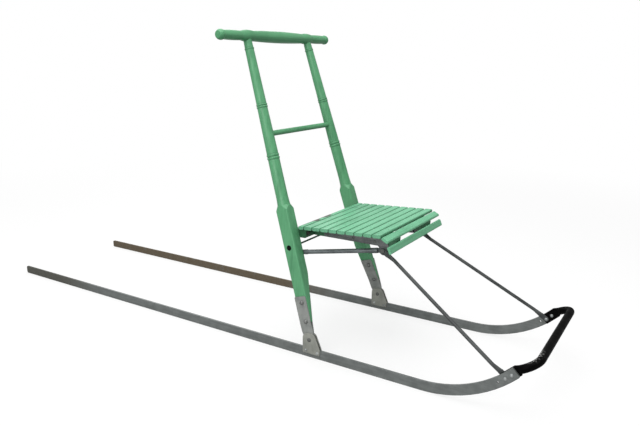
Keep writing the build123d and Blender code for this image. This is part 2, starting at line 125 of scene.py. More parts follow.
# How fine each grain is along x, y and z; the low number is the way that it runs
POST_GRAIN = (90.0, 90.0, 5.0)
CROSS_GRAIN = (95.0, 5.5, 95.0)
CLEAT_GRAIN = (6.0, 90.0, 90.0)
RUNNER_GRAIN = (9.0, 160.0, 160.0)
NOSE_GRAIN = (60.0, 60.0, 60.0)
PLATE_GRAIN = (70.0, 70.0, 18.0)
HEAD_GRAIN = (90.0, 90.0, 90.0)
STRIP_GRAIN = (12.0, 120.0, 120.0)
ROD_GRAIN = (14.0, 120.0, 120.0)
STAY_GRAIN = (14.0, 90.0, 90.0)
TIE_GRAIN = (90.0, 12.0, 90.0)

# Directions of the photo's camera, worked out from matching points: where it looks, and its right
CAMERA_FORWARD = (-0.51582, 0.82265, -0.23912)
CAMERA_RIGHT = (0.8472, 0.5312, 0.0053)


def colour(name, about, value):
    """A colour that a user may change."""
    return FloatVectorProperty(
        name=name, description=about, subtype="COLOR", size=3, min=0.0, max=1.0, default=value
    )


def length(name, about, value):
    """A length that a user may change."""
    return FloatProperty(
        name=name, description=about, subtype="DISTANCE", unit="LENGTH", min=0.0, default=value
    )


def power(name, about, value):
    """A lamp's power that a user may change."""
    return FloatProperty(name=name, description=about, unit="POWER", default=value)


class SledPaint(PropertyGroup):
    """Colours of the sled's finishes"""
    post_green: colour("Post green", "Paint of the posts, handlebar and rung", (0.100, 0.335, 0.160))
    # Post shade and seat shade also serve as painted shade: undersides, slat sides and ends, grooves, and
    # darker copies for the parts under the seat
    post_shade: colour("Post shade", "Darker streaks in the posts' paint", (0.045, 0.19, 0.085))
    seat_green: colour("Seat green", "Paint of the slats and the wood below them", (0.174, 0.505, 0.296))
    seat_shade: colour("Seat shade", "Darker streaks in the seat's paint", (0.075, 0.28, 0.14))
    bare_wood: colour("Bare wood", "Weathered wood where paint has chipped", (0.055, 0.05, 0.04))
    runner_grey: colour("Runner grey", "Bare steel of the runners", (0.168, 0.182, 0.178))
    rust: colour("Rust", "Rust on the left runner's rear", (0.140, 0.112, 0.076))
    tail_grime: colour("Tail grime", "Darker grime on the right runner's rear", (0.105, 0.105, 0.090))
    nose_black: colour("Nose black", "Coating of the nose bar", (0.002, 0.002, 0.002))
    worn_steel: colour("Worn steel", "Steel that shows through worn paint", (0.42, 0.42, 0.41))
    zinc: colour("Zinc", "Straps on the posts", (0.275, 0.289, 0.276))
    bracket_tone: colour("Bracket", "Foot brackets", (0.288, 0.296, 0.265))
    rivet_zinc: colour("Rivet zinc", "Rivets, pins and bolts", (0.36, 0.38, 0.38))
    dark_rivet: colour("Dark rivet", "Aged pins, seat bolts and screws", (0.12, 0.125, 0.12))
    strap_rivet: colour("Strap rivet", "Domed rivets on the straps", (0.20, 0.205, 0.20))
    bolt_black: colour("Bolt black", "Bolts on the cross rail", (0.022, 0.022, 0.020))
    rail_grey: colour("Rail grey", "Steel strips under the seat", (0.15, 0.157, 0.160))
    rod_grey: colour("Rod grey", "Level rods", (0.135, 0.152, 0.158))
    stay_grey: colour("Stay grey", "Diagonal stays", (0.060, 0.066, 0.066))
    tie_green: colour("Tie rod green", "Dark green of the tie rod", (0.030, 0.075, 0.045))


class SledSizes(PropertyGroup):
    """Sizes of the small fasteners"""
    rivet_width: length("Bracket rivet width", "Width of the rivets on the foot brackets", 0.0085)
    rivet_height: length("Rivet height", "Height of a rivet's head", 0.0024)
    strap_rivet_width: length("Strap rivet width", "Width of the domed rivets on the straps", 0.0132)
    strap_rivet_height: length("Strap rivet height", "Height of the domed rivets on the straps", 0.0054)
    cap_width: length("Cap width", "Width of the black caps over the tie rod's nuts", 0.0150)
    stay_rivet_width: length("Stay rivet width", "Width of the rivets at the runners' tips", 0.0095)
    screw_width: length("Screw width", "Width of a wood screw's head", 0.0078)
    bolt_width: length("Bolt width", "Width of the round bolt heads on the cross rail", 0.011)
    nail_width: length("Nail width", "Width of the nails in the slats", 0.0036)
    round_steps: IntProperty(
        name="Round steps", description="Segments round a head", min=8, max=48, default=20
    )


class SledStudio(PropertyGroup):
    """Floor, lamps and camera"""
    floor_colour: colour("Floor colour", "Pale floor", (0.90, 0.90, 0.90))
    bounce_colour: colour("Bounce colour", "Floor as the sled's undersides see it", (0.52, 0.52, 0.52))
    key_power: power("Top lamp", "Power of the lamp overhead", 70.0)
    side_power: power("Side lamp", "Power of the lamp at the right", 44.0)
    rear_power: power("Rear lamp", "Power of the weak lamp behind", 32.0)
    sky_strength: FloatProperty(name="Sky", description="Strength of the even light", min=0.0, default=0.50)
    focal_length: FloatProperty(name="Focal length", description="Lens of the camera in mm", default=34.885)
    camera_place: FloatVectorProperty(
        name="Camera place", description="Where the camera stands", subtype="TRANSLATION", unit="LENGTH",
        default=(1.22553, -1.55897, 0.81475),
    )


def put(tree, kind, settings=None, values=None):
    """Adds a node, with its settings and the values or links of its inputs."""
    made = tree.nodes.new(kind)
    made.location = (190 * len(tree.nodes), 0)
    for name, value in (settings or {}).items():
        setattr(made, name, value)
    for name, value in (values or {}).items():
        socket = made.inputs[name]
        if isinstance(value, bpy.types.NodeSocket):
            tree.links.new(value, socket)
        else:
            socket.default_value = value
    return made


def blend_colours(tree, factor, first, second, way="MIX"):
    """Mixes two colours, each a value or a link."""
    made = put(tree, "ShaderNodeMix", {"data_type": "RGBA", "blend_type": way})
    for index, value in ((0, factor), (6, first), (7, second)):
        if isinstance(value, bpy.types.NodeSocket):
            tree.links.new(value, made.inputs[index])
        elif index == 0:
            made.inputs[index].default_value = value
        else:
            made.inputs[index].default_value = (*value[:3], 1.0)
    return made.outputs[2]


def sums(tree, operation, first, second=0.0):
    """One arithmetic step, kept between 0 and 1."""
    settings = {"operation": operation, "use_clamp": True}
    return put(tree, "ShaderNodeMath", settings, {0: first, 1: second}).outputs[0]


def free_sums(tree, operation, first, second=0.0):
    """One arithmetic step whose result may be any number."""
    return put(tree, "ShaderNodeMath", {"operation": operation}, {0: first, 1: second}).outputs[0]


def steps_between(tree, operation, first, second=(0.0, 0.0, 0.0)):
    """One step with vectors; its outputs are Vector and Value."""
    return put(tree, "ShaderNodeVectorMath", {"operation": operation}, {0: first, 1: second}).outputs


def spread(tree, value, low, high, to_low=0.0, to_high=1.0):
    """Maps a range of values onto another."""
    made = put(
        tree, "ShaderNodeMapRange", {"interpolation_type": "SMOOTHSTEP"},
        {"Value": value, "From Min": low, "From Max": high, "To Min": to_low, "To Max": to_high},
    )
    return made.outputs["Result"]


def noise(tree, place, scale, detail=4.0, roughness=0.55):
    """Noise at a place."""
    made = put(
        tree, "ShaderNodeTexNoise", None,
        {"Vector": place, "Scale": scale, "Detail": detail, "Roughness": roughness},
    )
    return made.outputs["Fac"]


def start_group(name, inputs, outputs):
    """A shader node group with named sockets; kinds are Vector, Color and Float."""
    group = bpy.data.node_groups.new(name, "ShaderNodeTree")
    for socket, kind in inputs:
        group.interface.new_socket(socket, in_out="INPUT", socket_type="NodeSocket" + kind)
    for socket, kind in outputs:
        group.interface.new_socket(socket, in_out="OUTPUT", socket_type="NodeSocket" + kind)
    entry = group.nodes.new("NodeGroupInput")
    leave = group.nodes.new("NodeGroupOutput")
    leave.location = (2600, 0)
    return group, entry.outputs, leave.inputs


def grain_group():
    """Painted wood: streaks along the grain and softer patches."""
    group, given, made = start_group(
        "Painted Grain",
        [
            ("Along", "Vector"), ("Place", "Vector"), ("Light", "Color"), ("Shade", "Color"),
            ("Contrast", "Float"),
        ],
        [("Color", "Color"), ("Roughness", "Float"), ("Height", "Float")],
    )
    streaks = noise(group, given["Along"], 1.0, 6.0, 0.62)
    patches = noise(group, given["Place"], 11.0, 3.0)
    brushing = noise(group, given["Along"], 3.4, 3.0)
    streak_mask = sums(group, "MULTIPLY", spread(group, streaks, 0.42, 0.72), given["Contrast"])
    patch_mask = sums(group, "MULTIPLY", spread(group, patches, 0.45, 0.75), 0.35)
    mask = sums(group, "ADD", streak_mask, patch_mask)
    group.links.new(blend_colours(group, mask, given["Light"], given["Shade"]), made["Color"])
    group.links.new(spread(group, patches, 0.3, 0.7, 0.34, 0.52), made["Roughness"])
    height = sums(group, "ADD", sums(group, "MULTIPLY", streaks, 0.7), sums(group, "MULTIPLY", brushing, 0.3))
    group.links.new(height, made["Height"])
    return group


def metal_group():
    """Dull steel: fine streaks of rolling and cloudy patches."""
    group, given, made = start_group(
        "Dull Metal",
        [("Along", "Vector"), ("Place", "Vector"), ("Tone", "Color"), ("Contrast", "Float")],
        [("Color", "Color"), ("Roughness", "Float"), ("Height", "Float")],
    )
    clouds = noise(group, given["Place"], 34.0, 5.0, 0.62)
    streaks = noise(group, given["Along"], 1.0, 4.0)
    specks = noise(group, given["Place"], 620.0, 2.0)
    darker = blend_colours(group, 1.0, given["Tone"], (0.55, 0.56, 0.56), "MULTIPLY")
    lighter = blend_colours(group, 1.0, given["Tone"], (1.32, 1.31, 1.30), "MULTIPLY")
    mask = sums(group, "ADD", sums(group, "MULTIPLY", clouds, 0.6), sums(group, "MULTIPLY", streaks, 0.4))
    mixed = blend_colours(group, spread(group, mask, 0.36, 0.64), darker, lighter)
    group.links.new(blend_colours(group, given["Contrast"], given["Tone"], mixed), made["Color"])
    group.links.new(spread(group, clouds, 0.3, 0.7, 0.38, 0.6), made["Roughness"])
    height = sums(group, "ADD", sums(group, "MULTIPLY", specks, 0.5), sums(group, "MULTIPLY", streaks, 0.5))
    group.links.new(height, made["Height"])
    return group


def wear_group():
    """Mask of rubbed edges, and a normal that rounds them."""
    group, given, made = start_group(
        "Edge Wear",
        [("Place", "Vector"), ("Radius", "Float"), ("Amount", "Float")],
        [("Mask", "Float"), ("Normal", "Vector")],
    )
    rounded = put(group, "ShaderNodeBevel", {"samples": 6}, {"Radius": given["Radius"]})
    flat = put(group, "ShaderNodeNewGeometry")
    turned = steps_between(group, "DOT_PRODUCT", rounded.outputs["Normal"], flat.outputs["Normal"])
    edge = spread(group, turned["Value"], 0.985, 0.86)
    broken = spread(group, noise(group, given["Place"], 85.0, 5.0, 0.7), 0.44, 0.62)
    mask = sums(group, "MULTIPLY", sums(group, "MULTIPLY", edge, broken), given["Amount"])
    group.links.new(mask, made["Mask"])
    group.links.new(rounded.outputs["Normal"], made["Normal"])
    return group


def patch_group():
    """Mask of broken flecks inside a soft oval region."""
    group, given, made = start_group(
        "Flecks",
        [
            ("Place", "Vector"), ("Centre", "Vector"), ("Reach", "Vector"), ("Scale", "Float"),
            ("Cover", "Float"),
        ],
        [("Mask", "Float")],
    )
    offset = steps_between(group, "SUBTRACT", given["Place"], given["Centre"])["Vector"]
    share = steps_between(group, "DIVIDE", offset, given["Reach"])["Vector"]
    away = steps_between(group, "LENGTH", share)["Value"]
    region = spread(group, away, 1.0, 0.55)
    flecks = noise(group, given["Place"], given["Scale"], 4.0, 0.6)
    above = free_sums(group, "SUBTRACT", flecks, sums(group, "SUBTRACT", 1.0, given["Cover"]))
    group.links.new(sums(group, "MULTIPLY", region, spread(group, above, 0.0, 0.04)), made["Mask"])
    return group


def ring_group():
    """Mask of the two grooves beside a turned bead, where the post is darkened as painted shade."""
    group, given, made = start_group(
        "Turned Grooves",
        [("Distance", "Float"), ("Middle", "Float"), ("Half", "Float")],
        [("Mask", "Float")],
    )
    away = free_sums(group, "ABSOLUTE", free_sums(group, "SUBTRACT", given["Distance"], given["Middle"]))
    miss = free_sums(group, "ABSOLUTE", free_sums(group, "SUBTRACT", away, given["Half"]))
    group.links.new(spread(group, miss, 0.0015, 0.0006), made["Mask"])
    return group


def use_group(tree, name, values):
    """Places a shared group in a material."""
    made = put(tree, "ShaderNodeGroup", {"node_tree": bpy.data.node_groups[name]})
    for socket, value in values.items():
        if isinstance(value, bpy.types.NodeSocket):
            tree.links.new(value, made.inputs[socket])
        elif made.inputs[socket].type == "RGBA":
            made.inputs[socket].default_value = (*value[:3], 1.0)
        else:
            made.inputs[socket].default_value = value
    return made.outputs


def start_material(name):
    """A material with its shader and Object coordinates."""
    material = bpy.data.materials.new(name)
    material.use_nodes = True
    tree = material.node_tree
    shader = tree.nodes["Principled BSDF"]
    place = put(tree, "ShaderNodeTexCoord").outputs["Object"]
    return material, tree, shader, place


def close_material(tree, shader, tint, roughness, height, normal, depth, strength=0.5):
    """Joins colour, roughness and bump to the shader."""
    tree.links.new(tint, shader.inputs["Base Color"])
    tree.links.new(roughness, shader.inputs["Roughness"])
    bump = put(
        tree, "ShaderNodeBump", None,
        {"Strength": strength, "Distance": depth, "Height": height, "Normal": normal},
    )
    tree.links.new(bump.outputs["Normal"], shader.inputs["Normal"])


def post_up():
    """Direction of the left post's middle line."""
    return -sin(POST_LEAN) * cos(POST_SPLAY), -sin(POST_SPLAY), cos(POST_LEAN) * cos(POST_SPLAY)


def post_length(z):
    """Length along a post from its foot pin to a height over the ground."""
    return (z - PIN_Z) / (cos(POST_LEAN) * cos(POST_SPLAY))


def stretched(tree, place, scale, turn=(0.0, 0.0, 0.0)):
    """Coordinates turned and stretched, so that a pattern runs along a piece."""
    return put(
        tree, "ShaderNodeMapping", {"vector_type": "POINT"},
        {"Vector": place, "Rotation": turn, "Scale": scale},
    ).outputs["Vector"]


def length_up_post(tree, place):
    """Length along either post's middle line, from the foot pin."""
    parts = put(tree, "ShaderNodeSeparateXYZ", None, {"Vector": place}).outputs
    outward = free_sums(tree, "ABSOLUTE", parts["Y"])
    folded = put(tree, "ShaderNodeCombineXYZ", None, {"X": parts["X"], "Y": outward, "Z": parts["Z"]})
    from_pin = steps_between(tree, "SUBTRACT", folded.outputs[0], (PIN_X, POST_FOOT_Y, PIN_Z))["Vector"]
    return steps_between(tree, "DOT_PRODUCT", from_pin, post_up())["Value"]


def painted_wood(name, light, shade, bare, scale, contrast, wear, turn=(0.0, 0.0, 0.0), chips=(),
                 sides=0.0, ends=0.0, under=0.0, beads=()):
    """Painted wood: streaks along the grain, rubbed edges, grooves beside the beads and chips. Its
    sides, ends and underside are darker by the shares given, and the grooves too: painted shade."""
    material, tree, shader, place = start_material(name)
    along = stretched(tree, place, scale, turn)
    grain = use_group(tree, "Painted Grain", {
        "Along": along, "Place": place, "Light": light, "Shade": shade, "Contrast": contrast,
    })
    rubbed = use_group(tree, "Edge Wear", {"Place": place, "Radius": 0.0016, "Amount": wear})
    tint = grain["Color"]
    normal = put(tree, "ShaderNodeSeparateXYZ", None, {"Vector": rubbed["Normal"]}).outputs
    # Painted shade: faces turned along x (the sides) and along y (the ends) darken towards the shade colour
    for way, amount in (("X", sides), ("Y", ends)):
        if amount:
            turned = sums(tree, "ABSOLUTE", normal[way])
            tint = blend_colours(tree, spread(tree, turned, 0.35, 0.85, 0.0, amount), tint, shade)
    # Painted shade: faces turned downwards darken towards the shade colour
    if under:
        tint = blend_colours(tree, spread(tree, normal["Z"], 0.35, -0.75, 0.0, under), tint, shade)
    # Painted shade in the grooves beside each bead
    for height, length_along in beads:
        groove = use_group(tree, "Turned Grooves", {
            "Distance": length_up_post(tree, place), "Middle": post_length(height), "Half": length_along / 2,
        })
        tint = blend_colours(tree, sums(tree, "MULTIPLY", groove["Mask"], 0.8), tint, shade)
    edge_tone = tuple(0.45 * a + 0.55 * b for a, b in zip(shade, bare))
    tint = blend_colours(tree, rubbed["Mask"], tint, edge_tone)
    for centre, reach, cover in chips:
        chip = use_group(tree, "Flecks", {
            "Place": place, "Centre": centre, "Reach": reach, "Scale": 150.0, "Cover": cover,
        })
        tint = blend_colours(tree, chip["Mask"], tint, bare)
    shader.inputs["Specular IOR Level"].default_value = 0.42
    close_material(tree, shader, tint, grain["Roughness"], grain["Height"], rubbed["Normal"], 0.0006, 0.45)
    return material


def dull_steel(name, tone, scale, metallic, contrast=0.45, wear=0.35, worn=(0.5, 0.5, 0.5),
               stain=None, specks=(), gloss=0.5):
    """Steel, bare or coated, with worn edges and bright specks. A stain is rust or grime on the rear:
    its tone, where it ends, over what length it fades and how much it covers."""
    material, tree, shader, place = start_material(name)
    along = stretched(tree, place, scale)
    metal = use_group(tree, "Dull Metal", {
        "Along": along, "Place": place, "Tone": tone, "Contrast": contrast,
    })
    rubbed = use_group(tree, "Edge Wear", {"Place": place, "Radius": 0.0009, "Amount": wear})
    tint = blend_colours(tree, rubbed["Mask"], metal["Color"], worn)
    roughness = metal["Roughness"]
    if stain:
        stain_tone, front_x, fade, cover = stain
        parts = put(tree, "ShaderNodeSeparateXYZ", None, {"Vector": place})
        rearward = spread(tree, parts.outputs["X"], front_x, front_x - fade)
        blotches = spread(tree, noise(tree, place, 42.0, 6.0, 0.68), 0.62 - cover, 0.80 - cover)
        mask = sums(tree, "MULTIPLY", rearward, blotches)
        tint = blend_colours(tree, mask, tint, stain_tone)
        roughness = sums(tree, "ADD", roughness, sums(tree, "MULTIPLY", mask, 0.3))
    for centre, reach, cover in specks:
        bright = use_group(tree, "Flecks", {
            "Place": place, "Centre": centre, "Reach": reach, "Scale": 210.0, "Cover": cover,
        })
        tint = blend_colours(tree, bright["Mask"], tint, worn)
    shader.inputs["Metallic"].default_value = metallic
    shader.inputs["Specular IOR Level"].default_value = gloss
    close_material(tree, shader, tint, roughness, metal["Height"], rubbed["Normal"], 0.0003, 0.3)
    return material


def dress(material, *starts):
    """Gives a finish to the solids whose names start in one of these ways."""
    found = [solid for name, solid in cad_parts.items() if name.startswith(starts)]
    if not found:
        raise RuntimeError("no solid is named " + " or ".join(starts))
    for solid in found:
        for slot in solid.material_slots:
            slot.material = material


def round_head(width, height, steps, crown=1.0):
    """A round head built ring by ring; crown is the share of the height that is domed."""
    shape = bmesh.new()
    half = width / 2
    rim = height * (1 - crown)
    profile = [(half * across, rim + (height - rim) * up) for across, up in DOME_RINGS]
    if rim > 0:
        profile.insert(0, (half, 0.0))
    turns = [2 * pi * step / steps for step in range(steps)]
    rings = [[shape.verts.new((x * cos(turn), x * sin(turn), z)) for turn in turns] for x, z in profile]
    tip = shape.verts.new((0.0, 0.0, height))
    shape.faces.new(rings[0][::-1])
    for lower, upper in zip(rings, rings[1:]):
        for step in range(steps):
            shape.faces.new((lower[step - 1], lower[step], upper[step], upper[step - 1]))
    for step in range(steps):
        shape.faces.new((rings[-1][step - 1], rings[-1][step], tip))
    return shape


def cut_slot(shape, width, height, turn):
    """Presses a screwdriver slot into a head."""
    gap = width * 0.07
    bar = Matrix.Rotation(turn, 4, "Z")
    for offset in (-gap, gap):
        bmesh.ops.bisect_plane(
            shape, geom=shape.verts[:] + shape.edges[:] + shape.faces[:], dist=1e-7,
            plane_co=bar @ Vector((offset, 0, 0)), plane_no=bar.to_3x3() @ Vector((1, 0, 0)),
        )
    inside = [
        vert for vert in shape.verts
        if abs((bar.inverted() @ vert.co).x) < gap * 1.01 and vert.co.z > height * 0.35
    ]
    bmesh.ops.translate(shape, verts=inside, vec=(0, 0, -height * 0.3))


def facing(point, normal):
    """Matrix that stands a head on a surface at a point."""
    turn = Vector((0, 0, 1)).rotation_difference(Vector(normal).normalized())
    return Matrix.Translation(point) @ turn.to_matrix().to_4x4()


def join_heads(name, heads, finish):
    """One piece of several heads, with a finish; each head is a shape and the matrix that places it."""
    whole = bmesh.new()
    scratch = bpy.data.meshes.new(name + "_scratch")
    for shape, place in heads:
        bmesh.ops.transform(shape, matrix=place, verts=shape.verts)
        shape.to_mesh(scratch)
        whole.from_mesh(scratch)
        shape.free()
    bpy.data.meshes.remove(scratch)
    mesh = bpy.data.meshes.new(name)
    whole.to_mesh(mesh)
    whole.free()
    for face in mesh.polygons:
        face.use_smooth = True
    mesh.set_sharp_from_angle(angle=radians(40))
    piece = bpy.data.objects.new(name, mesh)
    bpy.context.scene.collection.objects.link(piece)
    mesh.materials.append(bpy.data.materials[finish])
    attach(piece, BODY)


def post_turn(side):
    """The post's own axes as columns: forward, outward and up."""
    forward = Vector((cos(POST_LEAN), 0, sin(POST_LEAN)))
    up = Vector(post_up())
    outward = up.cross(forward)
    axes = Matrix((forward, outward, up)).transposed()
    return Matrix.Diagonal((1, side, 1)) @ axes


def on_post(side, ahead, outward, z):
    """A point given in the post's own frame, at a height over the ground."""
    foot = Vector((PIN_X, side * POST_FOOT_Y, PIN_Z))
    return foot + post_turn(side) @ Vector((ahead, outward, post_length(z)))


def ahead_on_post(x_from_tail, z):
    """Distance in front of the post's middle line, along the post's own forward axis."""
    middle_x = PIN_X - (z - PIN_Z) * sin(POST_LEAN) / cos(POST_LEAN)
    return (TAIL_X + x_from_tail - middle_x) * cos(POST_LEAN)


def on_curve(angle_degrees):
    """A point in the middle of the runner's front curve."""
    turn = radians(angle_degrees)
    return CURVE_START_X + CURVE_RADIUS * sin(turn), CURVE_CENTRE_Z - CURVE_RADIUS * cos(turn)


def sizes():
    """The fasteners' sizes, as set in the panel."""
    return bpy.context.scene.sled_sizes


def darker(tone, share):
    """A colour with only a share of its strength."""
    return tuple(share * value for value in tone)


class SLED_OT_finishes(Operator):
    """Gives every solid of the sled its paint or steel"""
    bl_idname = "sled.finishes"
    bl_label = "Paint and Steel"

    def execute(self, context):
        paint = context.scene.sled_paint
        for make in (grain_group, metal_group, wear_group, patch_group, ring_group):
            make()
        self.paint_wood(paint)
        self.coat_runners(paint)
        self.coat_steel(paint)
        return {"FINISHED"}

    def paint_wood(self, paint):
        green, shade, bare = tuple(paint.post_green), tuple(paint.post_shade), tuple(paint.bare_wood)
        seat, seat_shade = tuple(paint.seat_green), tuple(paint.seat_shade)
        # Darker copies of the shade colours are painted shade: the cleats and cross rail under the seat take
        # them as their colour; deep also colours the slats' streaks and their painted shade
        rail, dark_rail, deep = darker(shade, 0.6), darker(shade, 0.4), darker(seat_shade, 0.55)
        lean = (0.0, POST_LEAN, 0.0)
        # Painted shade on the slats' sides and ends; the two front slats get less of it
        slat_sides = {"sides": 0.7, "ends": 0.3}
        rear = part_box("slat_01")
        rear_x, top_z = rear[0][0], rear[1][2]
        chips = [
            ((rear_x, -0.090, top_z), (0.020, 0.027, 0.030), 0.66),
            ((rear_x, -0.033, top_z), (0.019, 0.036, 0.030), 0.66),
            ((rear_x, -0.135, top_z), (0.010, 0.045, 0.030), 0.52),
        ]
        # Finish, its colour and shade, grain, contrast, wear, what is special, and the solids' names
        finishes = (
            ("post_paint", green, shade, POST_GRAIN, 0.5, 0.5, {"turn": lean, "beads": BEADS}, ["post_"]),
            # Painted shade: the handlebar's and rung's undersides darken towards the shade colour
            ("bar_paint", green, shade, CROSS_GRAIN, 0.4, 0.35, {"under": 0.95}, ["handlebar", "rung"]),
            ("slat_paint", seat, deep, CROSS_GRAIN, 0.28, 0.4, slat_sides, ["slat_"]),
            ("front_slat_paint", seat, seat_shade, CROSS_GRAIN, 0.5, 0.4, {"sides": 0.45, "ends": 0.3},
             ["slat_11", "slat_12"]),
            ("rear_slat_paint", seat, deep, CROSS_GRAIN, 0.28, 0.5, {"chips": chips, **slat_sides},
             ["slat_01"]),
            ("cleat_paint_in_shade", deep, rail, CLEAT_GRAIN, 0.6, 0.4, {}, ["seat_cleat"]),
            ("cross_rail_paint_in_shade", rail, dark_rail, CROSS_GRAIN, 0.5, 0.4, {}, ["seat_cross_rail"]),
        )
        for name, light, dark, grain, contrast, wear, special, starts in finishes:
            dress(painted_wood(name, light, dark, bare, grain, contrast, wear, **special), *starts)

    def coat_runners(self, paint):
        rust = (tuple(paint.rust), 0.24, 0.30, 0.36)
        grime = (tuple(paint.tail_grime), -0.52, 0.25, 0.40)
        for side_name, stain in (("left", rust), ("right", grime)):
            steel = dull_steel(
                "runner_steel_" + side_name, tuple(paint.runner_grey), RUNNER_GRAIN, 0.35, stain=stain
            )
            dress(steel, "runner_" + side_name)

    def coat_steel(self, paint):
        worn = tuple(paint.worn_steel)
        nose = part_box("nose_bar")
        specks = {"specks": [((nose[1][0] - 0.036, -0.158, 0.146), (0.034, 0.055, 0.016), 0.46)]}
        # Finish, its colour, grain, metallic, contrast, wear, gloss, what is special, the solids' names
        finishes = (
            ("nose_coating", paint.nose_black, NOSE_GRAIN, 0.0, 0.7, 0.2, 0.03, specks, ["nose_bar"]),
            # The brackets' strong edge wear is partly real wear and partly a painted highlight on their
            # rounded top edges
            ("bracket_zinc", paint.bracket_tone, PLATE_GRAIN, 0.3, 0.4, 0.9, 0.5, {}, ["bracket_"]),
            ("strap_zinc", paint.zinc, PLATE_GRAIN, 0.4, 0.4, 0.5, 0.5, {}, ["strap_"]),
            ("fastener_zinc", paint.rivet_zinc, HEAD_GRAIN, 0.6, 0.9, 0.4, 0.5, {}, []),
            ("dark_rivet", paint.dark_rivet, HEAD_GRAIN, 0.6, 0.9, 0.4, 0.5, {}, ["foot_pin", "seat_bolt"]),
            ("strap_rivet", paint.strap_rivet, HEAD_GRAIN, 0.75, 0.5, 0.3, 0.5, {}, []),
            ("black_cap", paint.nose_black, HEAD_GRAIN, 0.0, 0.5, 0.0, 0.07, {}, []),
            ("bolt_black", paint.bolt_black, HEAD_GRAIN, 0.0, 0.7, 0.2, 0.2, {}, []),
            ("strip_steel", paint.rail_grey, STRIP_GRAIN, 0.35, 0.8, 0.4, 0.5, {}, ["side_rail"]),
            ("rod_steel", paint.rod_grey, ROD_GRAIN, 0.6, 0.8, 0.3, 0.5, {}, ["level_rod"]),
            ("stay_steel", paint.stay_grey, STAY_GRAIN, 0.3, 0.8, 0.3, 0.5, {}, ["diagonal_stay"]),
            ("tie_rod_paint", paint.tie_green, TIE_GRAIN, 0.0, 0.7, 0.4, 0.3, {}, ["tie_rod"]),
        )
        for name, tone, grain, metallic, contrast, wear, gloss, special, starts in finishes:
            steel = dull_steel(
                name, tuple(tone), grain, metallic, contrast, wear, worn, gloss=gloss, **special
            )
            if starts:
                dress(steel, *starts)


class SLED_OT_bracket_rivets(Operator):
    """Rivets that hold the foot brackets on the runners"""
    bl_idname = "sled.bracket_rivets"
    bl_label = "Bracket Rivets"

    def execute(self, context):
        width, height, steps = sizes().rivet_width, sizes().rivet_height, sizes().round_steps
        for side_name, side in SIDES:
            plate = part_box("bracket_outer_" + side_name)
            outer_y = max(abs(plate[0][1]), abs(plate[1][1]))
            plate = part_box("bracket_inner_" + side_name)
            inner_y = min(abs(plate[0][1]), abs(plate[1][1]))
            heads = []
            for x, z in BRACKET_RIVETS:
                for y, way in ((outer_y, 1), (inner_y, -1)):
                    place = facing((TAIL_X + x, side * y, z), (0, side * way, 0))
                    heads.append((round_head(width, height, steps), place))
            join_heads("bracket_rivets_" + side_name, heads, "fastener_zinc")
        return {"FINISHED"}


class SLED_OT_strap_rivets(Operator):
    """Rivets through the straps on the posts' feet"""
    bl_idname = "sled.strap_rivets"
    bl_label = "Strap Rivets"

    def execute(self, context):
        width, height = sizes().strap_rivet_width, sizes().strap_rivet_height
        steps = sizes().round_steps
        taper_length = (TAPER_TOP_Z - TAPER_FOOT_Z) / (cos(POST_LEAN) * cos(POST_SPLAY))
        slant = (POST_HALF_WIDTH + TAPER_FOOT_Y) / taper_length
        for side_name, side in SIDES:
            heads = []
            for x, z in STRAP_RIVETS:
                ahead = ahead_on_post(x, z)
                point = on_post(side, ahead, POST_HALF_WIDTH + STRAP_THICKNESS, z)
                normal = post_turn(side) @ Vector((0, 1, 0))
                heads.append((round_head(width, height, steps), facing(point, normal)))
                share = (z - TAPER_FOOT_Z) / (TAPER_TOP_Z - TAPER_FOOT_Z)
                wood_y = TAPER_FOOT_Y - share * (POST_HALF_WIDTH + TAPER_FOOT_Y)
                point = on_post(side, ahead, wood_y - STRAP_THICKNESS * SLANTED_SHARE, z)
                normal = post_turn(side) @ Vector((0, -1, -slant))
                heads.append((round_head(width, height, steps), facing(point, normal)))
            join_heads("strap_rivets_" + side_name, heads, "strap_rivet")
        return {"FINISHED"}


class SLED_OT_tip_rivets(Operator):
    """Rivets at the runners' tips, through the nose bar and the stays"""
    bl_idname = "sled.tip_rivets"
    bl_label = "Tip Rivets"

    def execute(self, context):
        width, height, steps = sizes().stay_rivet_width, sizes().rivet_height, sizes().round_steps
        for side_name, side in SIDES:
            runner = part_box("runner_" + side_name)
            outer_y = max(abs(runner[0][1]), abs(runner[1][1]))
            nose_y = min(abs(runner[0][1]), abs(runner[1][1])) - NOSE_FLAT_THICKNESS
            stay_y = nose_y - ROD_FLAT_THICKNESS
            heads = []
            for angle, inner_y in ((STAY_RIVET_ANGLE, stay_y), (NOSE_RIVET_ANGLE, nose_y)):
                x, z = on_curve(angle)
                for y, way in ((outer_y, 1), (inner_y, -1)):
                    place = facing((x, side * y, z), (0, side * way, 0))
                    heads.append((round_head(width, height * TIP_RIVET_SHARE, steps), place))
            join_heads("tip_rivets_" + side_name, heads, "fastener_zinc")
        return {"FINISHED"}


class SLED_OT_strip_screws(Operator):
    """Slotted screws that hold the steel strips on the cleats and the rods' palms on the posts"""
    bl_idname = "sled.strip_screws"
    bl_label = "Strip Screws"

    def execute(self, context):
        for side_name, side in SIDES:
            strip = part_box("side_rail_" + side_name)
            outer_y = max(abs(strip[0][1]), abs(strip[1][1]))
            heads = []
            for number, x in enumerate(STRIP_SCREWS):
                place = facing((TAIL_X + x, side * outer_y, STRIP_SCREW_Z), (0, side, 0))
                heads.append((self.screw(25 + 50 * number), place))
            normal = post_turn(side) @ Vector((0, -1, 0))
            for ahead in PALM_SCREWS:
                inner_y = -POST_HALF_WIDTH - ROD_FLAT_THICKNESS
                place = facing(on_post(side, ahead, inner_y, PALM_Z + PALM_RISE * ahead), normal)
                heads.append((self.screw(60 + 900 * ahead), place))
            join_heads("strip_screws_" + side_name, heads, "dark_rivet")
        return {"FINISHED"}

    def screw(self, slot_degrees):
        width = sizes().screw_width
        head = round_head(width, SCREW_HEIGHT, sizes().round_steps, crown=0.8)
        cut_slot(head, width, SCREW_HEIGHT, radians(slot_degrees))
        return head


